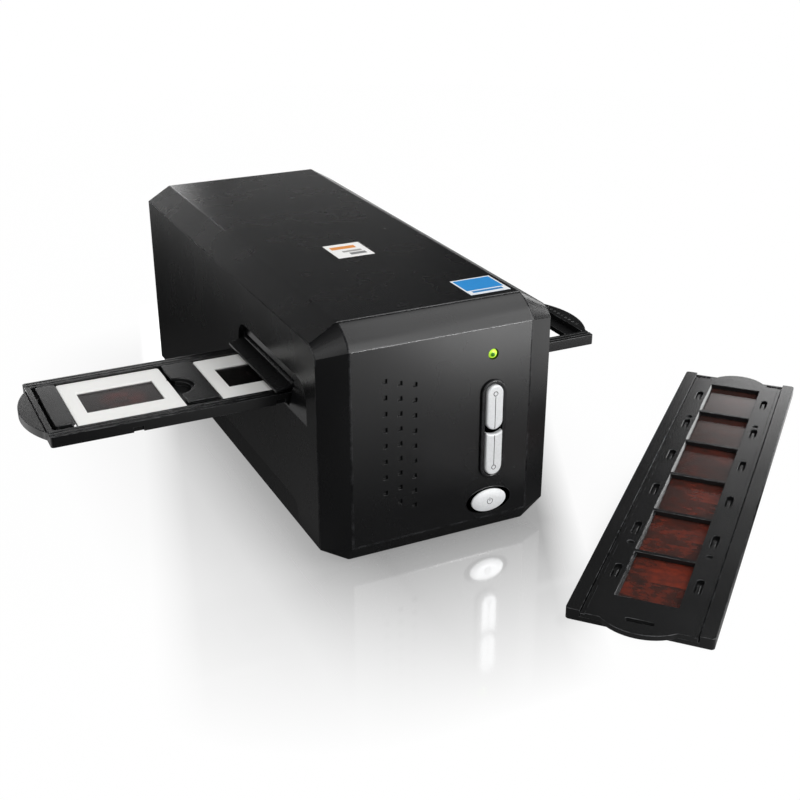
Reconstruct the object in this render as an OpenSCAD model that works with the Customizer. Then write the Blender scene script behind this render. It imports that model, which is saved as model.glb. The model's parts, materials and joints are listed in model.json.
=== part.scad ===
// Desktop scanner for 35 mm negatives and mounted slides, with its sliding holder
// for four slides and its hinged holder for a strip of six negatives.
// Millimetres. +Z is up, the front panel faces -Y and +X is to the viewer's right.
// The origin is on the desk, under the middle of the scanner.

/* [Casing] */
// Width of the casing across its two sides
body_w = 120; // [118:0.5:124]
// Length of the casing from the front panel to the back
body_l = 272; // [268:1:280]
// Height of the top of the casing above the desk
body_h = 118.5; // [116:0.5:122]
// Thickness of the moulded walls
wall = 2.5; // [2:0.1:2.8]
// Sideways run of the chamfers along the top and bottom edges
chamfer_run = 13.7; // [12:0.1:15]
// Drop of the top chamfers
top_drop = 8.2; // [7:0.1:9]
// Rise of the bottom chamfers
bottom_rise = 7.5; // [6:0.1:8]
// Height of the rubber feet
foot_h = 2; // [1.5:0.1:2.5]

/* [Front panel] */
// Depth of the front panel, from the seam on the top to its flat face
panel_d = 13.6; // [13:0.1:15]
// Height of the crease above the flat face
brow_z = 108.5; // [106:0.5:110]
// Radius of the curved brow over the crease
brow_r = 24; // [20:1:40]
// Height of the chin, where the flat face turns back under the panel
chin_z = 10; // [9.6:0.1:12]
// Depth of the slanted cheeks at the sides
cheek_d = 6.3; // [6:0.1:8]
// Side of the small square pits that decorate the panel
pit = 2.3; // [1.8:0.1:2.6]

/* [Buttons] */
// Distance of the two scan buttons from the middle of the panel
button_x = 26.2; // [24:0.1:28]
// Width of a scan button
button_w = 8.7; // [8:0.1:9]
// Travel of the buttons
button_travel = 1.2; // [0.8:0.1:1.3]
// Half length of the oval power button
power_a = 9.4; // [8:0.1:9.6]
// Half height of the oval power button
power_b = 5.85; // [5:0.05:6]

/* [Slide holder] */
// Length of the slide holder without its end tabs
holder_l = 280.2; // [278:0.2:284]
// Width of both holders
holder_w = 65; // [64.6:0.1:65.2]
// Thickness of the slide holder's frame
holder_t = 5.3; // [5.2:0.1:5.6]
// Height of the slide holder's underside above the desk
holder_z = 69.9; // [69.8:0.1:70]
// Middle of the slide holder along the casing
holder_y = -60.5; // [-62:0.5:-60]
// How far the middle of the slide holder lies to the right of the casing
holder_x = -29.5; // [-31:0.5:-28]
// Distance from one slide to the next
slide_pitch = 67.4; // [67:0.1:68]
// Side of a mounted slide
slide = 50; // [49.8:0.1:50.2]

/* [Strip holder] */
// Length of the strip holder without its end tabs
strip_l = 284; // [282:1:286]
// Thickness of the closed strip holder
strip_t = 5.6; // [5.4:0.1:6]
// Distance from one window to the next
window_pitch = 42.25; // [42:0.05:42.4]
// Place of its middle to the right of the casing's middle
strip_x = 147.5; // [146:0.5:160]
// Place of its middle in front of the casing's middle
strip_y = -143; // [-150:0.5:-142]
// Turn of its length away from the casing's width, in degrees
strip_turn = 42; // [38:0.5:44]

/* [Scan carriage] */
// Travel of the scan carriage along its rods
scan_travel = 28; // [24:1:30]
// Radius of the two guide rods
rod_r = 3; // [2.5:0.1:3]
// Radius of the lead screw
screw_r = 2; // [1.8:0.1:2.2]
// Radial play of everything that slides or turns
play = 0.05; // [0.03:0.01:0.08]

/* [Hidden] */
$fn = 32;

// Casing planes
half_w = body_w / 2;
front_y = -body_l / 2;
back_y = body_l / 2;
base_z = foot_h;
sill_z = base_z + bottom_rise;
shoulder_z = body_h - top_drop;
flat_w = half_w - chamfer_run;
seam_gap = 0.2;
foot_x = 38;
foot_inset = 22;
foot_r = 6;

// Front panel lines, as (y, z)
seam_y = front_y + panel_d;
cheek_y = front_y + cheek_d;
cheek_z = shoulder_z - 4.9;
cheek_r = 12.5;
cheek_foot_y = cheek_y + 0.7;
seam_foot_y = cheek_y + 1.7;
chin_run = 4.5;
far_y = front_y + 40;

// Film slots, dust doors and grip recesses in the side walls
slot_top = 81.2;
slot_bottom = 69.3;
slot_half = 34.6;
door_half = 34;
door_y = holder_y + 0.5;
pin_r = 0.8;
pin_x = half_w - 3.7;
pin_z = 79.2;
door_out = 9.2;
door_drop = 2.3;
door_t = 1.2;
recess_top = 88.7;
recess_d = 5;
recess_foot = 68;
recess_front = -117.3;
recess_back = -24.6;
grip_top = 21.6;
grip_d = 2.4;
grip_half = 102;

// Slide holder
holder_top = holder_z + holder_t;
frame_x = [for (i = [-1.5 : 1 : 1.5]) holder_x + i * slide_pitch];
gate_x = frame_x[2];
trough_half = 25.7;
ledge_z = holder_z + 2.7;
slide_t = 1.8;
film_w = 36;
film_h = 24;
retainer_w = 15.2;
bite_r = 10;
bite_step = 1.6;
retainer_top = holder_top + 0.7;
tab_half = 25;
tab_r = 46;

// Film gate and lamp
gate_floor = holder_z - 0.3;
gate_t = 2.7;
gate_half = holder_w / 2 + 0.5;
gate_wall = 3.3;
gate_reach = 51.5;
lamp_z = 82;
lamp_h = 22;
lamp_w = 60;
lamp_d = 50;
floor_z = base_z + wall;

// Scan carriage, drawn at the front end of its travel
rod_z = 22;
rod_out = 36;
carriage_w = 60;
carriage_y0 = holder_y - 29.5;
carriage_y1 = carriage_y0 + 124;
carriage_z = 27;
mirror_y = holder_y - scan_travel / 2;
beam_z = 40;
barrel_r = 11;
screw_x = gate_x - 48.2;
screw_z = 30;
bush_r = rod_r + 1.5;
rod_y0 = carriage_y0 - 20;
rod_y1 = carriage_y1 + scan_travel + 12;
bush_y = [carriage_y0 + 2, carriage_y1 - 14];
bush_l = 10;
nut_y = carriage_y1 - 8;
motor_y = carriage_y1 + scan_travel + 6.5;
motor_r = 8;
motor_l = 18;

// Rear screws, as (x, z), on one side of the casing
cover_screw = [half_w - 7, 94];
tray_screw = [38, 9];
screw_spots = [for (side = [-1, 1], p = [cover_screw, tray_screw]) [side * p[0], p[1]]];
boss_l = 12;

// Main board and rear sockets
board_z = 14;
board_t = 1.6;
board_top = board_z + board_t;
board_y0 = 92;
board_y1 = 131;
board_posts = [for (x = [-42, 42], y = [board_y0 + 5, board_y1 - 5]) [x, y]];
panel_y = back_y - 4;
panel_face = back_y - 1.4;
usb_x = -18;
usb_w = 12;
usb_h = 11;
dc_x = 12;
dc_w = 9;
socket_y = panel_face + 0.3;

// Front controls, as (x, z)
collar_z = 57;
collar_w = 13.1;
collar_h = 51.1;
collar_y = front_y - 1.5;
button_y = front_y - 2.5;
upper_top = 80.3;
upper_foot = 57.6;
lower_top = 56.5;
lower_foot = 33.8;
lower_dip = 1.4;
power_x = 25.1;
power_z = 19.4;
power_y = front_y - 1;
power_dome = [[0, 0], [1.6, 0.5], [4.2, 0.85]];
ring_a = 12.35;
ring_b = 7;
led_x = 25.8;
led_z = 95.2;
led_r = 2.5;
pcb_y = front_y + 15;
switch_tip = pcb_y - 4.6;
stem_end = switch_tip - button_travel - 0.15;
switch_z = [69, 45, power_z];

// Strip holder, in its own frame: X along its length towards the hinge
rail_w = 6.6;
lid_half = holder_w / 2 - rail_w - 0.4;
lid_z = 2.9;
lid_top = strip_t - 0.2;
strip_floor = 2.4;
hinge_x = strip_l / 2 - 4;
hinge_z = 3.6;
hinge_r = 1;
knuckle_r = 1.9;
knuckle_l = 6;
window_x = [for (i = [-2.5 : 1 : 2.5]) 2 + i * window_pitch];
lid_window = [39.8, 27.4];
window_slope = 1.2;
slot_depth = 2;

BLACK = "#1b1c1e";
DARK = "#0e0e10";

// ---------- helpers ----------

// A slab across X of an outline drawn as (y, z)
module across(x0, x1) {
    translate([x0, 0, 0])
        rotate([90, 0, 90])
            linear_extrude(x1 - x0)
                children();
}

// A bar along Y of an outline drawn as (x, z)
module along(y0, y1) {
    translate([0, y1, 0])
        rotate([90, 0, 0])
            linear_extrude(y1 - y0)
                children();
}

// A plate over Z of an outline drawn as (x, y)
module plate(z0, z1) {
    translate([0, 0, z0])
        linear_extrude(z1 - z0)
            children();
}

// A box from its low corner to its high corner
module box(low, high) {
    translate(low)
        cube(high - low);
}

// A round bar along Y
module rod(x, z, r, y0, y1) {
    translate([x, y1, z])
        rotate([90, 0, 0])
            cylinder(r = r, h = y1 - y0);
}

// A shape and its mirror image across the casing
module both_sides() {
    children();
    mirror([1, 0, 0]) children();
}

// An upright oval outline with round ends
module oval(x, z0, z1, w) {
    translate([x, z0 + w / 2]) circle(d = w);
    translate([x, z1 - w / 2]) circle(d = w);
    translate([x - w / 2, z0 + w / 2]) square([w, z1 - z0 - w]);
}

// A rectangle with round corners, from its low corner to its high corner
module rounded(low, high, r) {
    for (x = [low[0] + r, high[0] - r], y = [low[1] + r, high[1] - r])
        translate([x, y]) circle(r = r);
    translate([low[0] + r, low[1]]) square([high[0] - low[0] - 2 * r, high[1] - low[1]]);
    translate([low[0], low[1] + r]) square([high[0] - low[0], high[1] - low[1] - 2 * r]);
}

// Points of an ellipse
function ellipse(cx, cy, a, b) = [for (i = [0 : 47]) [cx + a * cos(i * 7.5), cy + b * sin(i * 7.5)]];

// Points of an arc of radius r from p to q, that leaves its centre on its left
function bow(p, q, r, n) =
    let (d = q - p,
        l = norm(d),
        c = (p + q) / 2 + sqrt(r * r - l * l / 4) * [-d[1], d[0]] / l,
        a0 = atan2(p[1] - c[1], p[0] - c[0]),
        turn = 2 * asin(l / 2 / r))
    [for (i = [0 : n]) c + r * [cos(a0 + turn * i / n), sin(a0 + turn * i / n)]];

// How far a corner of the casing moves when both faces beside it move in by i
function slip(run, drop, i) = i * (norm([run, drop]) - run) / drop;

// The eight-sided section of the casing, as (x, z), moved in by i
function case_points(i) =
    let (w = half_w - i,
        tx = flat_w - slip(chamfer_run, top_drop, i),
        tz = shoulder_z - slip(top_drop, chamfer_run, i),
        bx = flat_w - slip(chamfer_run, bottom_rise, i),
        bz = sill_z + slip(bottom_rise, chamfer_run, i))
    [[-w, bz], [-bx, base_z + i], [bx, base_z + i], [w, bz],
        [w, tz], [tx, body_h - i], [-tx, body_h - i], [-w, tz]];

// The seam between the cover and the front panel, as (y, z), from the top down
function seam_points(gap) = concat(
    [[seam_y - gap, body_h + 20]],
    [for (p = bow([seam_y, shoulder_z], [cheek_y, cheek_z], cheek_r, 6)) p - [gap, 0]],
    [[seam_foot_y - gap, sill_z], [seam_foot_y - gap, -20]]);

// The front panel's side view at the edge of its flat face and at the casing's sides
panel_points = concat(
    bow([seam_y, body_h], [front_y, brow_z], brow_r, 10),
    [[front_y, chin_z], [front_y + chin_run, base_z], [far_y, base_z], [far_y, body_h]]);
cheek_points = concat(
    bow([seam_y, shoulder_z], [cheek_y, cheek_z], cheek_r, 6),
    [[cheek_foot_y, sill_z], [far_y, sill_z], [far_y, shoulder_z]]);

// ---------- casing ----------

module tray_section() {
    difference() {
        polygon(case_points(0));
        polygon(case_points(wall));
        translate([-half_w - 1, sill_z]) square([body_w + 2, body_h]);
    }
}

module base_tray() color(BLACK) {
    difference() {
        union() {
            along(seam_foot_y + seam_gap, back_y) tray_section();
            // lips that stand behind the cover's side walls
            both_sides() box([half_w - 4.7, front_y + 16, sill_z - 2], [half_w - 2.7, panel_y - 2, sill_z + 4.5]);
            // posts that hold the guide rods
            for (x = [gate_x - rod_out, gate_x + rod_out], y = [rod_y0, rod_y1 - 6])
                box([x - 4.5, y, floor_z - 1], [x + 4.5, y + 6, rod_z + 5]);
            // pads under the motor bracket
            for (y = [carriage_y1 - 14, motor_y - 10])
                box([screw_x - 6, y, floor_z - 1], [screw_x + 3, y + 8, 15]);
            // posts under the main board
            for (p = board_posts)
                translate([p[0], p[1], floor_z - 1]) cylinder(r = 3.2, h = board_z - floor_z + 1);
            // bosses for the lower rear screws
            both_sides() rod(tray_screw[0], tray_screw[1], 3.8, panel_y - boss_l, panel_y);
        }
        for (x = [gate_x - rod_out, gate_x + rod_out])
            rod(x, rod_z, rod_r + 0.01, rod_y0 - 1, rod_y1 + 1);
        both_sides() rod(tray_screw[0], tray_screw[1], 1.4, panel_y - boss_l + 1, panel_y + 1);
    }
}

// The pocket that the film slot sits in: deepest at its top edge, flush at its foot
module slot_recess() {
    intersection() {
        across(-half_w - 2, -half_w + 8)
            rounded([recess_front, recess_foot - 14], [recess_back, recess_top], 10);
        along(recess_front - 1, recess_back + 1)
            polygon([[-half_w - 2, recess_foot - 4], [-half_w, recess_foot],
                [-half_w + recess_d, recess_top], [-half_w + recess_d, recess_top + 3],
                [-half_w - 2, recess_top + 3]]);
    }
}

// The long grip along the foot of the side wall, cut the same way
module grip_recess() {
    intersection() {
        across(-half_w - 2, -half_w + 4)
            rounded([-grip_half, sill_z - 12], [grip_half, grip_top], 7);
        along(-grip_half - 1, grip_half + 1)
            polygon([[-half_w - 2, sill_z - 1], [-half_w, sill_z],
                [-half_w + grip_d, grip_top], [-half_w + grip_d, grip_top + 2],
                [-half_w - 2, grip_top + 2]]);
    }
}

module top_cover() color(BLACK) {
    difference() {
        union() {
            difference() {
                along(front_y, back_y) polygon(case_points(0));
                along(front_y - 1, back_y + 1) polygon(case_points(wall));
            }
            both_sides() {
                // thicker wall behind the film slot and behind the grip
                box([-half_w + 1, recess_front - 3, 64], [-half_w + 8, recess_back + 6, recess_top + 3]);
                box([-half_w + 1, -grip_half - 3, 15], [-half_w + 5, grip_half + 3, grip_top + 3]);
                // bosses for the upper rear screws
                rod(cover_screw[0], cover_screw[1], 4, panel_y - boss_l, panel_y);
                box([cover_screw[0], panel_y - boss_l, cover_screw[1] - 3.5],
                    [half_w - 1, panel_y, cover_screw[1] + 3.5]);
            }
        }
        across(-half_w - 1, half_w + 1)
            polygon(concat(seam_points(0), [[front_y - 5, -20], [front_y - 5, body_h + 20]]));
        box([-half_w - 1, front_y - 5, -1], [half_w + 1, back_y + 1, sill_z]);
        // room for the tray's lips
        box([-half_w + wall, front_y - 5, -1], [half_w - wall, back_y + 1, sill_z + 3]);
        both_sides() {
            slot_recess();
            grip_recess();
            box([-half_w - 1, door_y - slot_half, slot_bottom], [-half_w + 9, door_y + slot_half, slot_top]);
            rod(-pin_x, pin_z, pin_r + 0.01, door_y - slot_half - 3.6, door_y + slot_half + 3.6);
            rod(cover_screw[0], cover_screw[1], 1.4, panel_y - boss_l + 1, panel_y + 1);
        }
    }
}

// The solid form of the front panel, drawn in by i
module panel_form(i) {
    hull() {
        across(-flat_w + 0.25 * i, flat_w - 0.25 * i) offset(delta = -i) polygon(panel_points);
        across(-half_w + i, half_w - i) offset(delta = -0.7 * i) polygon(cheek_points);
    }
}

module front_bezel() color(BLACK) {
    difference() {
        union() {
            difference() {
                panel_form(0);
                panel_form(wall);
                across(-half_w - 1, half_w + 1)
                    polygon(concat(seam_points(seam_gap), [[far_y + 5, -20], [far_y + 5, body_h + 20]]));
            }
            // tongues that hook behind the cover and over the tray
            for (x = [-32, 18]) {
                box([x, front_y + 8.5, body_h - wall - 2.3], [x + 14, seam_y + 7, body_h - wall - 0.2]);
                box([x, front_y + 4, floor_z + 0.2], [x + 14, seam_foot_y + 9, floor_z + 2.2]);
            }
            // posts for the button board
            for (p = [[16, 89], [37, 89], [15.5, 29.5], [37.8, 29.5]])
                rod(p[0], p[1], 2.6, front_y + wall - 0.5, pcb_y);
        }
        along(front_y - 1, front_y + wall + 1)
            oval(button_x, collar_z - collar_h / 2 + 0.5, collar_z + collar_h / 2 - 0.5, collar_w - 1);
        along(front_y - 1, front_y + wall + 1) polygon(ellipse(power_x, power_z, ring_a + 0.1, ring_b + 0.1));
        rod(led_x, led_z, led_r + 0.2, front_y - 1, front_y + wall + 1);
        for (c = [0 : 2], k = [0 : (c == 0 ? 7 : 8)])
            pit_cut(c, k);
    }
}

// One square pit of the three columns
module pit_cut(c, k) {
    columns = [[-29.5, 91.9, 8.03], [-22, 89.6, 7.51], [-14.5, 87.6, 7.71]];
    x = columns[c][0];
    z = columns[c][1] - k * columns[c][2];
    box([x - pit / 2, front_y - 1, z - pit / 2], [x + pit / 2, front_y + 1.1, z + pit / 2]);
}

module rear_panel() color(BLACK) difference() {
    along(panel_y, panel_face) polygon(case_points(wall + 0.25));
    box([usb_x - usb_w / 2 - 0.2, panel_y - 1, board_top - 0.1],
        [usb_x + usb_w / 2 + 0.2, back_y, board_top + usb_h + 0.2]);
    box([dc_x - dc_w / 2 - 0.2, panel_y - 1, board_top - 0.1],
        [dc_x + dc_w / 2 + 0.2, back_y, board_top + usb_h + 0.2]);
    for (p = screw_spots)
        rod(p[0], p[1], 1.6, panel_y - 1, back_y);
}

module rubber_feet() color("#101010")
    for (x = [-foot_x, foot_x], y = [front_y + foot_inset, back_y - foot_inset])
        translate([x, y, 0]) {
            cylinder(r1 = foot_r - 0.6, r2 = foot_r, h = 0.8);
            translate([0, 0, 0.8]) cylinder(r = foot_r, h = foot_h - 0.8);
        }

// One cross-head screw from the rear
module rear_screw(x, z) {
    difference() {
        union() {
            rod(x, z, 2.7, panel_face, panel_face + 1.2);
            rod(x, z, 1.35, panel_y - 9, panel_face + 0.1);
        }
        box([x - 1.7, panel_face + 0.5, z - 0.35], [x + 1.7, back_y, z + 0.35]);
        box([x - 0.35, panel_face + 0.5, z - 1.7], [x + 0.35, back_y, z + 1.7]);
    }
}

module case_screws() color("#77797c")
    for (p = screw_spots)
        rear_screw(p[0], p[1]);

module white_label() color("#f0efe9")
    box([-10.4, -41.2, body_h], [9.6, -19.4, body_h + 0.15]);

module blue_label() color("#2474b4")
    box([23, -118.4, body_h], [44.2, -97, body_h + 0.15]);

// ---------- front controls ----------

module button_collar() color(DARK) difference() {
    union() {
        along(collar_y, front_y)
            oval(button_x, collar_z - collar_h / 2, collar_z + collar_h / 2, collar_w);
        along(front_y, front_y + 5)
            oval(button_x, collar_z - collar_h / 2 + 0.6, collar_z + collar_h / 2 - 0.6, collar_w - 1.2);
    }
    along(collar_y - 1, front_y + 6) oval(button_x, lower_foot - 0.4, upper_top + 0.4, button_w + 0.8);
}

// A cap with its guide flange and its stem, pressed towards +Y
module button_stem(x, z, z0, z1, w) {
    along(front_y + 5.2, front_y + 6.7) translate([x - w / 2, z0]) square([w, z1 - z0]);
    rod(x, z, 2, front_y + 6, stem_end);
}

module upper_button() color("#c9cbcd") {
    along(button_y, front_y + 5.2) oval(button_x, upper_foot, upper_top, button_w);
    button_stem(button_x, switch_z[0], upper_foot + 5, upper_top - 0.5, button_w + 1.6);
}

module lower_button() color("#c9cbcd") {
    h = button_w / 2;
    along(button_y, front_y + 5.2) {
        translate([button_x, lower_foot + h]) circle(r = h);
        polygon(concat([[button_x + h, lower_foot + h], [button_x + h, lower_top]],
            [for (a = [1 : 7]) [button_x + h - a * h / 4,
                lower_top - lower_dip * (1 - pow(1 - a / 4, 2))]],
            [[button_x - h, lower_top], [button_x - h, lower_foot + h]]));
    }
    button_stem(button_x, switch_z[1], lower_foot + 0.5, lower_top - 5, button_w + 1.6);
}

module power_button_ring() color(DARK) difference() {
    along(front_y - 0.2, front_y + 4.6) polygon(ellipse(power_x, power_z, ring_a, ring_b));
    along(front_y - 1, front_y + 6) polygon(ellipse(power_x, power_z, power_a + 0.35, power_b + 0.3));
    hull() {
        along(front_y - 0.3, front_y - 0.25) polygon(ellipse(power_x, power_z, ring_a - 0.5, ring_b - 0.45));
        along(front_y + 2.6, front_y + 2.65)
            polygon(ellipse(power_x, power_z, power_a + 0.35, power_b + 0.3));
    }
}

// One step of its dome: how far it is drawn in, and how far it stands out
module dome_step(p) {
    along(power_y - p[1], power_y - p[1] + 0.05)
        polygon(ellipse(power_x, power_z, power_a - p[0], power_b - p[0]));
}

module power_button() color("#d4d6d8") {
    for (k = [0 : 1]) hull() {
        dome_step(power_dome[k]);
        dome_step(power_dome[k + 1]);
    }
    along(power_y, front_y + 4.9) polygon(ellipse(power_x, power_z, power_a, power_b));
    along(front_y + 4.8, front_y + 6.3) polygon(ellipse(power_x, power_z, power_a + 1, power_b + 0.8));
    rod(power_x, power_z, 2, front_y + 6, stem_end);
}

module status_led() color("#52c81e") {
    rod(led_x, led_z, led_r, front_y + 2.1, pcb_y);
    translate([led_x, front_y + 2.1, led_z]) sphere(r = led_r);
}

module button_board() color("#1f6b3a")
    box([12, pcb_y, 12], [41, pcb_y + 1.6, 101]);

module tact_switches() color("#2b2b2e")
    for (k = [0 : 2]) {
        x = k == 2 ? power_x : button_x;
        box([x - 3, pcb_y - 3.5, switch_z[k] - 3], [x + 3, pcb_y, switch_z[k] + 3]);
        rod(x, switch_z[k], 1.6, switch_tip, pcb_y - 3.4);
    }

// ---------- film path ----------

module film_gate() color("#2a2b2e") {
    y0 = holder_y - gate_half;
    y1 = holder_y + gate_half;
    difference() {
        box([-gate_reach, y0 - gate_wall, gate_floor - gate_t], [gate_reach, y1 + gate_wall, gate_floor]);
        box([gate_x - 21, holder_y - 15, gate_floor - 5], [gate_x + 21, holder_y + 15, gate_floor + 1]);
    }
    difference() {
        for (y = [y0 - gate_wall, y1])
            box([-gate_reach, y, gate_floor - 1], [gate_reach, y + gate_wall, 79]);
        // a notch that the detent spring sits in
        box([gate_x - 12, y0 - gate_wall - 1, gate_floor + 0.6], [gate_x + 12, y0 + 1, 76]);
    }
    // legs that follow the tray's slanted edge
    intersection() {
        for (x = [-gate_reach, gate_reach - 4.5], y = [y0 - gate_wall, y1])
            box([x, y, floor_z], [x + 4.5, y + gate_wall, gate_floor - 1]);
        along(y0 - gate_wall - 1, y1 + gate_wall + 1) polygon(case_points(wall));
    }
    // pillars under the lamp housing
    for (x = [gate_x - lamp_w / 2 + 1, gate_x + lamp_w / 2 - 5], y = [y0 - gate_wall, y1])
        box([x, y, 78], [x + 4, y + gate_wall, lamp_z]);
}

module holder_detent_spring() color("#b9bcc0") {
    y0 = holder_y - gate_half;
    box([gate_x - 12, y0 - 1.6, gate_floor + 0.8], [gate_x + 12, y0 - 1.2, gate_floor + 4.6]);
    translate([gate_x, y0 - 1, gate_floor + 0.8]) cylinder(r = 0.8, h = 3.8);
}

module light_housing() color("#d7d8d6") {
    y0 = holder_y - lamp_d / 2;
    y1 = holder_y + lamp_d / 2;
    difference() {
        box([gate_x - lamp_w / 2, y0, lamp_z], [gate_x + lamp_w / 2, y1, lamp_z + lamp_h]);
        box([gate_x - lamp_w / 2 + 2, y0 + 2, lamp_z - 1],
            [gate_x + lamp_w / 2 - 2, y1 - 2, lamp_z + lamp_h - 2]);
    }
    // feet on the gate's pillars
    for (x = [gate_x - lamp_w / 2 + 1, gate_x + lamp_w / 2 - 5])
        box([x, holder_y - gate_half - gate_wall, lamp_z], [x + 4, holder_y + gate_half + gate_wall, lamp_z + 1.8]);
}

module led_light_bar() color("#f4f2e4") {
    z = lamp_z + lamp_h - 2;
    box([gate_x - 24, holder_y - 5, z - 1.2], [gate_x + 24, holder_y + 5, z]);
    for (i = [-3.5 : 1 : 3.5])
        box([gate_x + i * 6 - 1.5, holder_y - 1.5, z - 2.2], [gate_x + i * 6 + 1.5, holder_y + 1.5, z - 1.2]);
}

module light_diffuser() color("#fbfbf8")
    box([gate_x - lamp_w / 2 + 2, holder_y - lamp_d / 2 + 2, lamp_z + 2.2],
        [gate_x + lamp_w / 2 - 2, holder_y + lamp_d / 2 - 2, lamp_z + 4.2]);

module door_pins() color("#a9adb1")
    both_sides() rod(-pin_x, pin_z, pin_r, door_y - slot_half - 3.4, door_y + slot_half + 3.4);

// The flap of the left slot, held up by the slide holder under it
module dust_door() {
    difference() {
        union() {
            rod(-pin_x, pin_z, pin_r + 0.75, door_y - door_half, door_y + door_half);
            along(door_y - door_half, door_y + door_half)
                polygon([[-pin_x, pin_z + 0.7], [-pin_x - door_out, pin_z - door_drop + door_t / 2],
                    [-pin_x - door_out - 0.3, pin_z - door_drop - door_t / 2],
                    [-pin_x, pin_z - 0.7]]);
        }
        rod(-pin_x, pin_z, pin_r + play, door_y - door_half - 1, door_y + door_half + 1);
    }
}

module left_dust_door() color(BLACK) dust_door();

module right_dust_door() color(BLACK) mirror([1, 0, 0]) dust_door();

// ---------- slide holder ----------

// The half-moon grip at an end of a holder, on the side of -X
module half_moon(x, half, r) {
    polygon(concat([[x + 2, half]], bow([x, half], [x, -half], r, 16), [[x + 2, -half]]));
}

module slide_holder_frame() color(BLACK) {
    x0 = holder_x - holder_l / 2;
    x1 = holder_x + holder_l / 2;
    y0 = -holder_w / 2;
    y1 = holder_w / 2;
    translate([0, holder_y, 0]) difference() {
        union() {
            plate(holder_z, holder_top) rounded([x0, y0], [x1, y1], 1.5);
            plate(holder_z + 0.6, holder_top - 0.7) {
                half_moon(x0, tab_half, tab_r);
                translate([2 * holder_x, 0]) mirror([1, 0]) half_moon(x0, tab_half, tab_r);
            }
            // ribs for the thumb on the right tab
            for (i = [-4 : 4]) box([x1 - 0.6, i * 3.6 - 0.8, ledge_z], [x1 + 1.6, i * 3.6 + 0.8, holder_top]);
        }
        // the trough that the slides lie in
        plate(ledge_z, holder_top + 1)
            rounded([x0 + 2.7, -trough_half], [x1 - 2.7, trough_half], 1);
        // an opening under each slide, longer at the two ends
        for (i = [0 : 3])
            plate(holder_z - 1, ledge_z + 1)
                rounded([frame_x[i] - (i == 0 ? 29.8 : 23), -20.5], [frame_x[i] + (i == 3 ? 29.8 : 23), 20.5], 1.5);
        // two fine grooves along each rail
        for (y = [y0 + 1.5, y0 + 4.2, y1 - 2.3, y1 - 5])
            box([x0 - 1, y, holder_top - 0.5], [x1 + 1, y + 0.8, holder_top + 1]);
        // a detent notch under the front rail at every frame
        for (x = frame_x) box([x - 2.25, y0 - 1, holder_z - 1], [x + 2.25, y0 + 1.2, holder_z + 2.4]);
    }
}

// One bar between two slides, with a stepped bite for the finger on its left
module retainer(x) {
    left = x - retainer_w / 2;
    plate(ledge_z + slide_t + 0.2, retainer_top) difference() {
        rounded([left, -23.6], [left + retainer_w, 23.6], 2);
        translate([left - 1.5, -3.5]) circle(r = bite_r);
    }
    plate(ledge_z, ledge_z + slide_t + 0.4) difference() {
        translate([left + 1.6, -22]) square([retainer_w - 3.2, 44]);
        translate([left - 1.5, -3.5]) circle(r = bite_r - bite_step);
    }
}

module slide_retainers() color(BLACK) translate([0, holder_y, 0]) {
    for (i = [0 : 2]) retainer((frame_x[i] + frame_x[i + 1]) / 2);
    // the left end bar stands on the frame's rails
    x = holder_x - holder_l / 2 + 8.8;
    plate(ledge_z + slide_t + 0.2, retainer_top) rounded([x - 4.6, -23.6], [x + 4.6, 23.6], 2);
    for (y = [-23.6, 21]) plate(ledge_z, ledge_z + slide_t + 0.4) translate([x - 3.6, y]) square([7.2, 2.6]);
}

module slide_mounts() color("#eceae2") translate([0, holder_y, 0])
    for (i = [0 : 1])
        plate(ledge_z, ledge_z + slide_t) difference() {
            rounded([frame_x[i] - slide / 2, -slide / 2], [frame_x[i] + slide / 2, slide / 2], 1.5);
            translate([frame_x[i] - film_w / 2, -film_h / 2]) square([film_w, film_h]);
        }

module slide_films() color("#3a1713") translate([0, holder_y, 0])
    for (i = [0 : 1])
        plate(ledge_z + 0.8, ledge_z + 1.1)
            translate([frame_x[i] - film_w / 2, -film_h / 2]) square([film_w, film_h]);

// ---------- scan carriage ----------

module guide_rods() color("#c2c5c9")
    for (x = [gate_x - rod_out, gate_x + rod_out]) rod(x, rod_z, rod_r, rod_y0 - 0.5, rod_y1 + 0.5);

module scan_carriage() color("#26272a") {
    x0 = gate_x - carriage_w / 2;
    x1 = gate_x + carriage_w / 2;
    difference() {
        union() {
            box([x0, carriage_y0, carriage_z], [x1, carriage_y1, carriage_z + 2.5]);
            for (x = [x0, x1 - 2.5]) box([x, carriage_y0, carriage_z + 1], [x + 2.5, carriage_y1, 50]);
            for (y = [carriage_y0, carriage_y1 - 2.5]) box([x0, y, carriage_z + 1], [x1, y + 2.5, 50]);
            // blocks round the bushes of the two rods
            for (x = [gate_x - rod_out, gate_x + rod_out], y = bush_y)
                box([x - 6, y, rod_z - 6], [x + 6, y + bush_l, carriage_z + 2.5]);
            // cradle of the lens
            box([gate_x - 16, mirror_y + 59, carriage_z + 1], [gate_x + 16, mirror_y + 79, beam_z]);
            // block of the drive nut and its arm over the left rod
            box([screw_x - 6, nut_y, screw_z - 6], [screw_x + 6, nut_y + 8, screw_z + 6]);
            box([screw_x, nut_y, screw_z], [x0 + 1, nut_y + 8, screw_z + 6]);
            // flag of the home sensor
            box([x1 - 2.5, holder_y - 9.5, 49], [x1 - 1.3, holder_y - 5.5, 61]);
            // two slanted ribs behind the mirror
            for (x = [gate_x - 20, gate_x + 18]) mirror_rib(x);
        }
        for (x = [gate_x - rod_out, gate_x + rod_out], y = bush_y)
            rod(x, rod_z, bush_r, y - 1, y + bush_l + 1);
        rod(gate_x, beam_z, barrel_r, mirror_y + 56, mirror_y + 86);
        rod(gate_x, beam_z, barrel_r + 1.2, mirror_y + 79.5, mirror_y + 86);
        rod(screw_x, screw_z, 5, nut_y - 1, nut_y + 9);
    }
}

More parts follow.
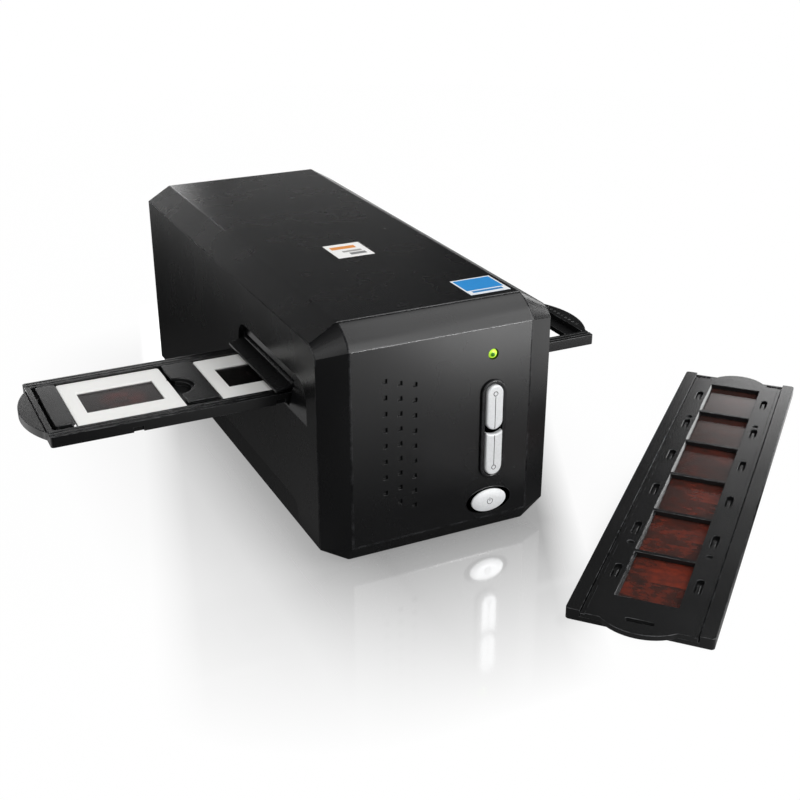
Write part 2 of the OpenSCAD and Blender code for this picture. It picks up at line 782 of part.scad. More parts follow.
// A rib whose slanted edge carries the mirror's back
module mirror_rib(x) {
    across(x, x + 2)
        polygon([[mirror_y - 10.4, beam_z + 7.55], [mirror_y + 7.55, beam_z - 10.4],
            [mirror_y + 7.55, carriage_z + 1], [mirror_y - 10.4, carriage_z + 1]]);
}

module carriage_bushes() color("#b98d3f")
    for (x = [gate_x - rod_out, gate_x + rod_out], y = bush_y)
        difference() {
            rod(x, rod_z, bush_r, y, y + bush_l);
            rod(x, rod_z, rod_r + play, y - 1, y + bush_l + 1);
        }

// It stands at 45 degrees under the gate and turns the light towards the lens
module scan_mirror() color("#dfe6ea")
    translate([gate_x, mirror_y, beam_z])
        rotate([-45, 0, 0])
            box([-22, -13, -2], [22, 12, 0]);

module lens_barrel() color("#18181a") difference() {
    union() {
        rod(gate_x, beam_z, barrel_r, mirror_y + 57, mirror_y + 82);
        rod(gate_x, beam_z, barrel_r + 1, mirror_y + 80, mirror_y + 84);
    }
    rod(gate_x, beam_z, 9.5, mirror_y + 56, mirror_y + 85);
}

module lens_glass() color("#a8c6d8")
    for (y = [mirror_y + 60, mirror_y + 76]) rod(gate_x, beam_z, 9.5, y, y + 3);

module ccd_board() color("#1f6b3a")
    box([gate_x - 26, carriage_y1 - 4.1, carriage_z + 2.5], [gate_x + 26, carriage_y1 - 2.5, 50]);

module ccd_sensor() color("#6f6a78") difference() {
    box([gate_x - 21, carriage_y1 - 7.6, beam_z - 5], [gate_x + 21, carriage_y1 - 4.1, beam_z + 5]);
    box([gate_x - 18, carriage_y1 - 8, beam_z - 1.5], [gate_x + 18, carriage_y1 - 6.8, beam_z + 1.5]);
}

module drive_nut() color("#b98d3f") difference() {
    rod(screw_x, screw_z, 5, nut_y, nut_y + 8);
    rod(screw_x, screw_z, screw_r + play, nut_y - 1, nut_y + 9);
}

// The screw is cut with rings at the spacing of its thread
module lead_screw() color("#b6b9bd") {
    y0 = carriage_y1 - 15.5;
    y1 = motor_y + 5;
    length = y1 - y0;
    turns = 34;
    step = 1.5;
    start = (length - turns * step) / 2;
    translate([screw_x, y1, screw_z]) rotate([90, 0, 0]) rotate_extrude()
        polygon(concat([[0, 0], [screw_r, 0]],
            [for (k = [0 : turns - 1], p = [[screw_r, 0.2], [screw_r - 0.3, 0.6], [screw_r, 1]])
                [p[0], start + k * step + p[1]]],
            [[screw_r, length], [0, length]]));
}

module motor_bracket() color("#a6a9ad") difference() {
    y0 = carriage_y1 - 14.5;
    union() {
        box([screw_x - 8, y0, 15], [screw_x + 5, motor_y, 17]);
        box([screw_x - 8, y0, 15], [screw_x + 5, y0 + 2.5, 38]);
        box([screw_x - 8, motor_y - 2, 15], [screw_x + 5, motor_y, 38]);
    }
    rod(screw_x, screw_z, screw_r + play, y0 - 1, y0 + 3.5);
    rod(screw_x, screw_z, 4, motor_y - 3, motor_y + 1);
}

module stepper_motor() color("#8d9094") difference() {
    union() {
        rod(screw_x, screw_z, motor_r, motor_y, motor_y + motor_l);
        rod(screw_x, screw_z, 3.9, motor_y - 1.5, motor_y + 1);
        box([screw_x - 5, motor_y + 3, screw_z + 5], [screw_x + 5, motor_y + 13, screw_z + motor_r + 3]);
    }
    rod(screw_x, screw_z, screw_r + play, motor_y - 3, motor_y + 5.4);
}

// A slotted optical sensor under the film gate
module home_sensor() color("#1d1d20") difference() {
    x = gate_x + carriage_w / 2 - 1.9;
    box([x - 6, holder_y - 12.5, 57], [x + 6, holder_y - 2.5, gate_floor - gate_t]);
    box([x - 1.6, holder_y - 14, 56], [x + 1.6, holder_y - 1, 62.5]);
}

// ---------- electronics ----------

module mainboard() color("#1f6b3a") difference() {
    box([-48, board_y0, board_z], [48, board_y1, board_top]);
    for (p = board_posts)
        translate([p[0], p[1], board_z - 1]) cylinder(r = 1.4, h = 4);
}

module board_chips() color("#19191b") {
    box([-4, board_y0 + 6, board_top], [12, board_y0 + 22, board_top + 1.4]);
    box([18, board_y0 + 4, board_top], [34, board_y0 + 12, board_top + 1.1]);
    box([-32, board_y0 + 5, board_top], [-22, board_y0 + 12, board_top + 1.1]);
    for (x = [24, 33]) translate([x, board_y0 + 24, board_top]) cylinder(r = 3.1, h = 8);
}

// The mouth of the socket is 8.4 by 7.8 and its tongue stands well inside it
module usb_socket() color("#c5c8cb") {
    z = board_top + usb_h / 2;
    difference() {
        box([usb_x - usb_w / 2, socket_y - 16, board_top], [usb_x + usb_w / 2, socket_y, board_top + usb_h]);
        box([usb_x - 4.2, socket_y - 10, z - 3.9], [usb_x + 4.2, socket_y + 1, z + 3.9]);
    }
    box([usb_x - 2.8, socket_y - 10.5, z - 1.6], [usb_x + 2.8, socket_y - 5, z + 1.6]);
}

module dc_jack() color("#151516") {
    z = board_top + usb_h / 2;
    difference() {
        box([dc_x - dc_w / 2, socket_y - 13.5, board_top], [dc_x + dc_w / 2, socket_y, board_top + usb_h]);
        rod(dc_x, z, 3.2, socket_y - 9.5, socket_y + 1);
    }
    rod(dc_x, z, 1, socket_y - 10, socket_y - 5);
}

module ribbon_cable() color("#b7b9bb") {
    box([53, pcb_y + 1.6, 9.2], [53.5, board_y0 + 4, 17]);
    box([38, pcb_y + 1.6, 13], [53.5, pcb_y + 2.1, 17]);
    box([45, board_y0 + 3.5, board_top], [53.5, board_y0 + 4, 17]);
}

// ---------- strip holder ----------

module at_strip() {
    translate([strip_x, strip_y, 0]) rotate([0, 0, strip_turn]) children();
}

module strip_holder_frame() color(BLACK) at_strip() {
    l = strip_l / 2;
    w = holder_w / 2;
    difference() {
        union() {
            plate(0, strip_t) rounded([-l, -w], [l, w], 1.8);
            // the grip at the hinge end
            plate(0, 3.2) mirror([1, 0]) half_moon(-l + 1, 16, 17.2);
        }
        // the bed that the lid closes into, with a low lip past the hinge
        box([-l - 5, -w + rail_w, strip_floor], [l - 1.6, w - rail_w, strip_t + 1]);
        box([l - 2, -w + rail_w, strip_t - 1.2], [l + 20, w - rail_w, strip_t + 1]);
        // room for the lid's two knuckles
        for (y = [-lid_half - 0.4, lid_half - knuckle_l - 0.4])
            box([hinge_x - 2.6, y, -1], [hinge_x + 2.4, y + knuckle_l + 0.8, strip_t + 1]);
        for (x = window_x)
            box([x - 18.4, -12.6, -1], [x + 18.4, 12.6, strip_floor + 1]);
        for (y = [-w + 1.4, w - rail_w - 2.6]) rotate([0, 90, 0])
            translate([-hinge_z, y, hinge_x]) rotate([-90, 0, 0]) cylinder(r = hinge_r + 0.01, h = 7.8);
    }
}

module strip_hinge_pins() color("#a9adb1") at_strip()
    both_ends() translate([hinge_x, lid_half - knuckle_l + 0.8, hinge_z])
        rotate([-90, 0, 0]) cylinder(r = hinge_r, h = knuckle_l + 4);

// A shape and its mirror image across the strip holder's length
module both_ends() {
    children();
    mirror([0, 1, 0]) children();
}

module film_strip() color("#5a231a") at_strip()
    box([-125, -17.5, strip_floor], [129, 17.5, strip_floor + 0.3]);

module strip_holder_lid() color(BLACK) at_strip() {
    l = strip_l / 2;
    difference() {
        union() {
            // the edge of the lid lies a little lower than its middle
            plate(lid_z, lid_top - 0.5) translate([-l - 1, -lid_half]) square([hinge_x + l - 1.4, 2 * lid_half]);
            plate(lid_z, lid_top) translate([-l - 1, -lid_half + 1.8])
                square([hinge_x + l - 1.4, 2 * lid_half - 3.6]);
            plate(lid_z, lid_top) translate([0, -17]) square([hinge_x + 0.4, 34]);
            // the lip at the free end
            plate(lid_z, lid_top) half_moon(-l - 1, 17, 24);
            both_ends() {
                translate([hinge_x, lid_half - knuckle_l, hinge_z])
                    rotate([-90, 0, 0]) cylinder(r = knuckle_r, h = knuckle_l);
                box([hinge_x - 3.4, lid_half - knuckle_l, lid_z], [hinge_x, lid_half, lid_top - 0.5]);
            }
        }
        for (x = window_x) {
            box([x - lid_window[0] / 2, -lid_window[1] / 2, 0], [x + lid_window[0] / 2, lid_window[1] / 2, 9]);
            lid_slope(x);
            both_ends() plate(lid_top - slot_depth, lid_top + 1) lid_slot(x);
        }
        // two dimples on each side and the slot for a fingernail
        for (x = [-76, 76]) both_ends() translate([x, 18.6, lid_top - 0.7]) cylinder(r = 1.6, h = 2);
        plate(0, 9) oval(-l + 1.6, -6.5, 6.5, 2.6);
        both_ends() translate([hinge_x, lid_half - knuckle_l - 1, hinge_z])
            rotate([-90, 0, 0]) cylinder(r = hinge_r + play, h = knuckle_l + 2);
    }
}

// The slope along the left edge of a window
module lid_slope(x) {
    y = lid_window[1] / 2;
    across(x - lid_window[0] / 2, x + lid_window[0] / 2)
        polygon([[y - 1, lid_top - window_slope], [y, lid_top - window_slope],
            [y + window_slope + 1, lid_top + 1], [y - 1, lid_top + 1]]);
}

// A short groove beside a window, with a tongue left standing in its near half
module lid_slot(x) {
    difference() {
        rotate(90) oval(18.8, -x - 6.5, -x + 6.5, 3.4);
        translate([x - 7, 18.1]) square([8.5, 1.4]);
    }
}

base_tray();
top_cover();
front_bezel();
rear_panel();
rubber_feet();
case_screws();
button_collar();
power_button_ring();
status_led();
button_board();
tact_switches();
film_gate();
holder_detent_spring();
light_housing();
led_light_bar();
light_diffuser();
guide_rods();
stepper_motor();
motor_bracket();
home_sensor();
mainboard();
board_chips();
usb_socket();
dc_jack();
ribbon_cable();
white_label();
blue_label();
door_pins();
left_dust_door();
right_dust_door();
slide_holder_frame();
slide_retainers();
slide_mounts();
slide_films();
scan_carriage();
carriage_bushes();
scan_mirror();
lens_barrel();
lens_glass();
ccd_board();
ccd_sensor();
drive_nut();
lead_screw();
upper_button();
lower_button();
power_button();
strip_holder_frame();
strip_hinge_pins();
film_strip();
strip_holder_lid();
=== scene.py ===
"""Looks of the film negative scanner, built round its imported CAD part. Metres, in the CAD frame."""

import json
import math

import bmesh
import bpy
from mathutils import Matrix, Vector


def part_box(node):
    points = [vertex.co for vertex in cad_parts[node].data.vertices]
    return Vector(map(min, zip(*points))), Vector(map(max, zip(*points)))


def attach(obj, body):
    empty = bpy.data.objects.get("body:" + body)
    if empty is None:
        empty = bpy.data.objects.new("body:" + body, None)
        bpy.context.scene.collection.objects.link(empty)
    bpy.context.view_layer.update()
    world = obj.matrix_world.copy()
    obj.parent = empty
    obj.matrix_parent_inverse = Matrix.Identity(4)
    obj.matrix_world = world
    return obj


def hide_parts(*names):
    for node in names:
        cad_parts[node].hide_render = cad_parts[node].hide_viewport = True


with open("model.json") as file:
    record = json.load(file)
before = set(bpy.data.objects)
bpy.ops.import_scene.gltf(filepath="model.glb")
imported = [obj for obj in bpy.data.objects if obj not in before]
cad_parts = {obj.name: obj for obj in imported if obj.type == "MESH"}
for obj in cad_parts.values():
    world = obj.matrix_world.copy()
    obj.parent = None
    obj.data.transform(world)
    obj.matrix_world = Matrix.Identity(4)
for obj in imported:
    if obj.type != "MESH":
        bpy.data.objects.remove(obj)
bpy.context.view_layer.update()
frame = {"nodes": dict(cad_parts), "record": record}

MM = 0.001
SCENE = bpy.context.scene
CAD = frame["nodes"]
RECORD = frame["record"]
BODY_OF = {node: body for body, members in RECORD["behaviour"]["bodies"].items() for node in members}
SLOT_OF = {part["node"]: part["material_slot"] for part in RECORD["subparts"]}
BASE = {entry["slot"]: entry["base_color"] for entry in RECORD["materials"]}

# half of the casing's and of the strip holder's footprint, as boxes higher than anything here
CASING_HALF = Vector((60, 136, 1000)) * MM
STRIP_HALF = Vector((142, 32.5, 1000)) * MM

# where the strip holder lies, and the pitch of its windows
STRIP_PLACE = Vector((147.5, -143, 0)) * MM
STRIP_TURN = math.radians(42)
WINDOW_PITCH = 42.25 * MM


# ---------- materials ----------

NOISE_SPAN = (0.3, 0.7)
PRINT_BLUR = 0.05 * MM

# the slides' pictures: their width, the reddish patch in the first, and the lines in the second
SLIDE_WINDOW = 36 * MM
PATCH_RIGHT = 19 * MM
PATCH_FORWARD = 2 * MM
PATCH_EDGE = 12 * MM
PATCH_CORE = 3 * MM
DIVIDER_HALF = 0.16 * MM

# the status light: where its core ends and its rim begins, and how far back it is fully lit and dim
CORE_RADIUS = 0.8 * MM
RIM_RADIUS = 1.45 * MM
LIT_DEPTH = 1.0 * MM
DIM_DEPTH = 2.2 * MM


class Nodes:
    """A node tree, with short calls for the nodes that the looks are made of."""

    def __init__(self, tree):
        self.tree = tree

    def feed(self, socket, value):
        """Links an output to a socket, or writes a plain value into it."""
        if isinstance(value, bpy.types.NodeSocket):
            self.tree.links.new(value, socket)
        else:
            socket.default_value = value

    def node(self, kind, inputs=None, **settings):
        """A node of the kind, with its settings and named inputs."""
        made = self.tree.nodes.new("ShaderNode" + kind)
        for key, value in settings.items():
            setattr(made, key, value)
        for key, value in (inputs or {}).items():
            self.feed(made.inputs[key], value)
        return made

    def ramp(self, value, low, high, start=0.0, end=1.0):
        """The value mapped from low..high to start..end, and held there beyond."""
        inputs = {"Value": value, "From Min": low, "From Max": high, "To Min": start, "To Max": end}
        return self.node("MapRange", inputs).outputs["Result"]

    def math(self, operation, first, second):
        """One sum of two values."""
        return self.node("Math", {0: first, 1: second}, operation=operation).outputs[0]

    def vector_math(self, operation, first, second=(0, 0, 0)):
        """The node for one sum of two vectors."""
        return self.node("VectorMath", {0: first, 1: second}, operation=operation)

    def distance(self, place, centre):
        """How far a place is from the centre."""
        return self.vector_math("DISTANCE", place, centre).outputs["Value"]

    def blend(self, share, first, second):
        """A value between the two."""
        return self.node("Mix", {0: share, 2: first, 3: second}, data_type="FLOAT").outputs[0]

    def mix(self, share, first, second):
        """A colour between the two."""
        return self.node("Mix", {0: share, 6: first, 7: second}, data_type="RGBA").outputs[2]

    def split(self, vector):
        """The outputs X, Y and Z of a vector."""
        return self.node("SeparateXYZ", {"Vector": vector}).outputs


class Shader(Nodes):
    """One node material, built round its Principled shader."""

    def __init__(self, name, color, roughness, metallic=0.0, specular=0.5):
        self.name = name
        self.material = bpy.data.materials.new(name + "_look")
        self.material.use_nodes = True
        super().__init__(self.material.node_tree)
        self.surface = self.tree.nodes["Principled BSDF"]
        self.place = self.node("TexCoord").outputs["Object"]
        self.color = (*color[:3], 1.0)
        self.use("Base Color", self.color)
        self.use("Roughness", roughness)
        self.use("Metallic", metallic)
        self.use("Specular IOR Level", specular)

    def use(self, socket, value):
        """Feeds one of the surface's own inputs."""
        self.feed(self.surface.inputs[socket], value)

    def tint(self, factor):
        """The material's own colour times a factor."""
        return tuple(min(1.0, c * factor) for c in self.color[:3]) + (1.0,)

    def scaled(self, vector, scale):
        """Coordinates scaled per axis, for brushed and streaky patterns."""
        return self.node("Mapping", {"Vector": vector, "Scale": scale}).outputs["Vector"]

    def noise(self, scale, detail, vector=None):
        """Noise of scale features a metre, from 0 to 1."""
        inputs = {"Vector": vector or self.place, "Scale": scale, "Detail": detail}
        return self.node("TexNoise", inputs).outputs["Fac"]

    def clouds(self, scale, detail, start=0.0, end=1.0):
        """Noise that fills the span from start to end."""
        return self.ramp(self.noise(scale, detail), *NOISE_SPAN, start, end)

    def relief(self, height, depth, strength):
        """Gives the surface a bump of the depth in metres."""
        inputs = {"Height": height, "Distance": depth, "Strength": strength}
        self.use("Normal", self.node("Bump", inputs).outputs["Normal"])


def moulded(slot, roughness, specular, grain=1400, depth=0.02, mottle=0.05, rub_and_highlight=1.5,
            uneven=0.02, level=1.0):
    """Moulded plastic: slow tone and gloss changes, fine grain, and smoother edges painted lighter as wear
    and painted highlight.
    """
    s = Shader(slot, BASE[slot], roughness, specular=specular)
    tone = s.mix(s.clouds(22, 3), s.tint(level - mottle), s.tint(level + mottle))
    edge = s.node("Attribute", attribute_name="edge").outputs["Fac"]
    # painted highlight: rounded edges are painted lighter, partly as wear and partly for the light lines
    # that edges catch
    wear_and_highlight = s.math("MULTIPLY", edge, s.ramp(s.noise(260, 4), 0.38, 0.66))
    s.use("Base Color", s.mix(wear_and_highlight, tone, s.tint(rub_and_highlight)))
    sheen = s.clouds(40, 3, roughness - uneven, roughness + uneven)
    s.use("Roughness", s.math("SUBTRACT", sheen, s.math("MULTIPLY", edge, 0.08)))
    s.relief(s.noise(grain, 2), depth * MM, 0.35)
    return s


def metal(slot, roughness, stretch=(900, 900, 900), depth=0.02, mottle=0.1, metallic=1.0):
    """Metal with fine marks along the axis of the smallest stretch, and uneven gloss."""
    s = Shader(slot, BASE[slot], roughness, metallic=metallic)
    marks = s.noise(1.0, 3, s.scaled(s.place, stretch))
    s.use("Base Color", s.mix(s.ramp(marks, *NOISE_SPAN), s.tint(1 - mottle), s.tint(1 + mottle)))
    s.use("Roughness", s.clouds(120, 4, roughness - 0.06, roughness + 0.08))
    s.relief(marks, depth * MM, 0.3)
    return s


def box_mask(s, low, high):
    """1 inside an upright box over the (x, y) corners, else 0."""
    place = s.split(s.place)
    share = 1.0
    for axis in (0, 1):
        rise = s.ramp(place[axis], low[axis] - PRINT_BLUR, low[axis] + PRINT_BLUR)
        fall = s.ramp(place[axis], high[axis] - PRINT_BLUR, high[axis] + PRINT_BLUR, 1.0, 0.0)
        share = s.math("MULTIPLY", share, s.math("MULTIPLY", rise, fall))
    return share


def label(slot, node, bars):
    """A printed label: paper fibre, and plain bars given by two corners in shares of its box and an ink."""
    low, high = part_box(node)
    size = high - low
    s = moulded(slot, 0.45, 0.3, grain=2600, depth=0.008, mottle=0.03, rub_and_highlight=1.0)
    color = s.surface.inputs["Base Color"].links[0].from_socket
    for x0, y0, x1, y1, ink in bars:
        corner = (low.x + x0 * size.x, low.y + y0 * size.y)
        other = (low.x + x1 * size.x, low.y + y1 * size.y)
        color = s.mix(box_mask(s, corner, other), color, (*ink, 1.0))
    s.use("Base Color", color)
    return s


def white_label():
    """White paper with one orange bar and two grey ones."""
    orange = (0.75, 0.28, 0.06)
    grey = (0.35, 0.34, 0.33)
    dark = (0.22, 0.22, 0.22)
    bars = [(0.1, 0.62, 0.78, 0.82, orange), (0.3, 0.36, 0.82, 0.48, grey), (0.42, 0.14, 0.86, 0.3, dark)]
    return label("label_white", "white_label", bars)


def blue_label():
    """A blue field in a white border, with a plain band at its foot."""
    white = (0.8, 0.82, 0.84)
    sky = (0.02, 0.25, 0.62)
    band = tuple(c * 0.8 for c in sky)
    bars = [(0.0, 0.0, 1.0, 1.0, white), (0.04, 0.05, 0.96, 0.95, sky),
            (0.04, 0.05, 0.96, 0.26, white), (0.12, 0.1, 0.88, 0.21, band)]
    return label("label_blue", "blue_label", bars)


def film(slot):
    """Developed film with a glossy face, and the cloudy shade of its picture from 0 to 1."""
    s = Shader(slot, BASE[slot], 0.2)
    clouds = s.math("MULTIPLY", s.noise(90, 6), 0.6)
    spots = s.math("MULTIPLY", s.noise(450, 6), 0.4)
    s.use("Roughness", s.clouds(1500, 2, 0.19, 0.24))
    s.relief(s.noise(2500, 1), 0.002 * MM, 0.2)
    return s, s.ramp(s.math("ADD", clouds, spots), 0.4, 0.64)


def slide_film(slot):
    """The two slides' pictures: a reddish one, and a darker one parted by two faint lines."""
    low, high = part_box("slide_films")
    left = high.x - SLIDE_WINDOW
    middle_x = high.x - SLIDE_WINDOW / 2
    middle_y = (low.y + high.y) / 2
    s, shade = film(slot)
    patch_centre = (low.x + PATCH_RIGHT, middle_y - PATCH_FORWARD, low.z)
    patch = s.ramp(s.distance(s.place, patch_centre), PATCH_EDGE, PATCH_CORE)
    red = s.mix(s.math("MULTIPLY", shade, patch), (0.014, 0.01, 0.01, 1), (0.16, 0.022, 0.014, 1))
    black = s.mix(shade, (0.002, 0.002, 0.002, 1), (0.006, 0.004, 0.004, 1))
    color = s.mix(box_mask(s, (left, low.y), (high.x, high.y)), red, black)
    along_y = ((middle_x - DIVIDER_HALF, low.y), (middle_x + DIVIDER_HALF, high.y))
    along_x = ((left, middle_y - DIVIDER_HALF), (high.x, middle_y + DIVIDER_HALF))
    for corner, other in (along_y, along_x):
        color = s.mix(box_mask(s, corner, other), color, (0.012, 0.012, 0.012, 1))
    s.use("Base Color", color)
    return s


def strip_film(slot):
    """Six negatives: grey-brown at the hinge end, redder and streaky towards the free end."""
    s, shade = film(slot)
    shift = Matrix.Rotation(-STRIP_TURN, 3, "Z") @ -STRIP_PLACE
    inputs = {"Vector": s.place, "Location": shift, "Rotation": (0, 0, -STRIP_TURN)}
    local = s.node("Mapping", inputs).outputs["Vector"]
    place = s.split(local)

    # each picture glows in the corner that is nearest to the free end
    window = s.math("DIVIDE", s.math("SUBTRACT", place["X"], 2 * MM), WINDOW_PITCH)
    foot = s.math("SUBTRACT", 1.0, s.math("FRACT", s.math("ADD", window, 0.5), 0.0))
    corner = s.math("MULTIPLY", foot, s.ramp(place["Y"], 12 * MM, -12 * MM))

    streaks = s.ramp(s.noise(1.0, 9, s.scaled(local, (330, 190, 1))), 0.42, 0.6)
    glow = s.math("ADD", s.math("MULTIPLY", shade, 0.3), s.math("MULTIPLY", corner, 0.9))
    share = s.math("ADD", s.math("MULTIPLY", streaks, 0.5), glow)
    free_end = s.ramp(place["X"], -0.12, 0.09, 1.0, 0.12)
    patches = s.ramp(s.noise(60, 4, local), 0.44, 0.62, 1.0, 0.3)
    red = s.math("MULTIPLY", s.math("MULTIPLY", share, free_end), patches)
    red = s.math("MINIMUM", s.math("MULTIPLY", red, 0.8), 1.0)
    s.use("Base Color", s.mix(red, (0.022, 0.013, 0.011, 1), (0.2, 0.026, 0.011, 1)))
    return s


def board(slot):
    """Solder mask over copper tracks."""
    s = Shader(slot, BASE[slot], 0.35)
    tracks = s.node("TexBrick", {"Vector": s.place, "Scale": 260.0, "Mortar Size": 0.03}).outputs["Fac"]
    s.use("Base Color", s.mix(tracks, s.tint(0.8), s.tint(1.7)))
    s.use("Roughness", s.clouds(200, 3, 0.28, 0.42))
    s.relief(tracks, 0.03 * MM, 0.5)
    return s


def lit_lens(slot):
    """The status light: a bright rim round a darker core, with a smooth face."""
    light = (0.5, 0.85, 0.06, 1)
    core = (0.025, 0.13, 0.006, 1)
    low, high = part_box("status_led")
    s = Shader(slot, BASE[slot], 0.12)
    centre = ((low.x + high.x) / 2 - 0.5 * MM, 0.0, (low.z + high.z) / 2 - 0.1 * MM)
    flat = s.vector_math("MULTIPLY", s.place, (1.0, 0.0, 1.0)).outputs["Vector"]
    shade = s.mix(s.ramp(s.distance(flat, centre), CORE_RADIUS, RIM_RADIUS), core, light)
    lit = s.ramp(s.split(s.place)["Y"], low.y + LIT_DEPTH, low.y + DIM_DEPTH, 1.0, 0.1)
    s.use("Base Color", shade)
    s.use("Emission Color", shade)
    s.use("Emission Strength", s.math("MULTIPLY", lit, 0.7))
    s.use("Roughness", s.clouds(500, 2, 0.08, 0.16))
    return s


def lens_glass(slot):
    """Clear glass with faint smears."""
    s = Shader(slot, BASE[slot], 0.03)
    s.use("Transmission Weight", 0.9)
    s.use("Roughness", s.clouds(300, 2, 0.02, 0.05))
    return s


def make_looks():
    """The object's materials by their slot in the record."""
    shaders = [
        moulded("casing_black", 0.27, 0.5, grain=1500, depth=0.012, mottle=0.03, rub_and_highlight=2.5,
                uneven=0.012, level=0.65),
        moulded("trim_black", 0.2, 0.5, grain=2500, depth=0.006, rub_and_highlight=3),
        # the holder's edges are painted much lighter, mostly as painted highlight lines
        moulded("holder_black", 0.25, 0.5, grain=1800, depth=0.012, rub_and_highlight=8, level=0.8),
        moulded("foot_rubber", 0.8, 0.2, grain=900, depth=0.06, mottle=0.3, uneven=0.06),
        moulded("component_black", 0.45, 0.3),
        moulded("inner_plastic", 0.5, 0.25, depth=0.04),
        moulded("lamp_white", 0.5, 0.3, mottle=0.04, rub_and_highlight=1.1),
        moulded("diffuser_white", 0.35, 0.4, depth=0.01, mottle=0.02, rub_and_highlight=1.05),
        moulded("ribbon_grey", 0.4, 0.3, mottle=0.06, rub_and_highlight=1.2),
        moulded("mount_white", 0.5, 0.25, grain=2200, depth=0.015, mottle=0.03, rub_and_highlight=1.1),
        moulded("sensor_ceramic", 0.4, 0.4, mottle=0.1),
        metal("screw_steel", 0.3),
        metal("button_silver", 0.34, (1500, 1500, 1500), depth=0.01, mottle=0.07, metallic=0.1),
        metal("spring_steel", 0.25, (60, 1500, 1500)),
        metal("rod_steel", 0.16, (1400, 90, 1400)),
        metal("motor_steel", 0.35),
        metal("bracket_steel", 0.38),
        metal("socket_shell", 0.25, (1200, 120, 1200)),
        metal("bush_brass", 0.32),
        metal("mirror_face", 0.03, depth=0.0005, mottle=0.01),
        white_label(),
        blue_label(),
        slide_film("film_dark"),
        strip_film("film_brown"),
        board("circuit_board"),
        lit_lens("led_green"),
        lens_glass("lens_clear"),
    ]
    return {s.name: s.material for s in shaders}


# ---------- meshes ----------

WELD = 0.001 * MM
FLAT = math.radians(0.4)
SHARP = math.radians(14)
KEPT_SHARP = math.radians(40)

# two edges run on in one line when their directions' product is above the first value, and a radius
# takes no more of a crossing edge than the second
SAME_WAY = 0.82
ROOM_SHARE = 0.42


def cad_copy(node):
    """The node's solid as one welded mesh with its flat faces whole."""
    bm = bmesh.new()
    bm.from_mesh(CAD[node].data)
    bmesh.ops.remove_doubles(bm, verts=bm.verts, dist=WELD)
    bmesh.ops.dissolve_limit(bm, angle_limit=FLAT, verts=bm.verts, edges=bm.edges)
    return bm


def new_object(name, bm, materials=()):
    """An object from a bmesh, which is used up."""
    mesh = bpy.data.meshes.new(name)
    bm.to_mesh(mesh)
    bm.free()
    obj = bpy.data.objects.new(name, mesh)
    SCENE.collection.objects.link(obj)
    for material in materials:
        mesh.materials.append(material)
    return obj


def settle(obj):
    """Applies the object's modifiers to its mesh."""
    depsgraph = bpy.context.evaluated_depsgraph_get()
    mesh = bpy.data.meshes.new_from_object(obj.evaluated_get(depsgraph))
    old = obj.data
    obj.modifiers.clear()
    obj.data = mesh
    bpy.data.meshes.remove(old)
    mesh.name = obj.name


def smooth(obj, angle=20):
    """Smooth shading that keeps flat faces flat, and corners sharper than the angle in degrees."""
    obj.data.shade_smooth()
    obj.data.set_sharp_from_angle(angle=math.radians(angle))
    even = obj.modifiers.new("even_normals", "WEIGHTED_NORMAL")
    even.keep_sharp = True


def cut(obj, cutters):
    """Takes the cutters out of the object, and gives the new faces the cutters' material."""
    for cutter in cutters:
        away = obj.modifiers.new("cut", "BOOLEAN")
        away.object = cutter
        away.operation = "DIFFERENCE"
        away.solver = "EXACT"
        away.material_mode = "TRANSFER"
    settle(obj)
    for cutter in cutters:
        bpy.data.objects.remove(cutter)


def direction(edge):
    """The unit vector along an edge."""
    return (edge.verts[1].co - edge.verts[0].co).normalized()


def radii(bm, rule):
    """Radius of every edge that rule gives one, no larger than its neighbours have room for."""
    wanted = {}
    for edge in bm.edges:
        if len(edge.link_faces) == 2 and edge.calc_face_angle_signed() > SHARP:
            size = rule(edge)
            if size:
                wanted[edge] = size * MM
    found = {}
    for edge, room in wanted.items():
        for vert in edge.verts:
            for other in vert.link_edges:
                goes_on = other in wanted and abs(direction(edge).dot(direction(other))) > SAME_WAY
                if other is not edge and not goes_on:
                    room = min(room, ROOM_SHARE * other.calc_length())
        found[edge] = room
    return found


def rounded(obj, rule, segments):
    """Rounds the object's edges, rule giving the radius in mm, and marks the new faces for wear and painted
    edge highlight.
    """
    bm = bmesh.new()
    bm.from_mesh(obj.data)
    bmesh.ops.remove_doubles(bm, verts=bm.verts, dist=WELD)
    bmesh.ops.dissolve_limit(bm, angle_limit=FLAT, verts=bm.verts, edges=bm.edges, delimit={"MATERIAL"})
    weight = bm.edges.layers.float.new("bevel_weight_edge")
    found = radii(bm, rule)
    widest = max(found.values())
    for edge, radius in found.items():
        edge[weight] = radius / widest
    bm.to_mesh(obj.data)
    bm.free()
    marks = len(obj.data.materials)
    bevel = obj.modifiers.new("round", "BEVEL")
    bevel.limit_method = "WEIGHT"
    bevel.width = widest
    bevel.segments = segments
    bevel.use_clamp_overlap = False
    obj.data.materials.append(None)
    bevel.material = marks
    settle(obj)
    edges = obj.data.attributes.new("edge", "FLOAT", "FACE")
    for face in obj.data.polygons:
        if face.material_index == marks:
            edges.data[face.index].value = 1.0
            face.material_index = 0
    obj.data.materials.pop(index=marks)


def stands_for(obj, node):
    """Puts the object in the node's place, on its body, and hides the node."""
    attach(obj, BODY_OF[node])
    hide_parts(node)


def dressed(node, rule, name=None, cutters=(), segments=3):
    """A CAD node as a piece with rounded edges."""
    obj = new_object(name or node + "_shell", cad_copy(node), [LOOKS[SLOT_OF[node]]])
    rounded(obj, rule, segments)
    if cutters:
        cut(obj, cutters)
    smooth(obj)
    stands_for(obj, node)


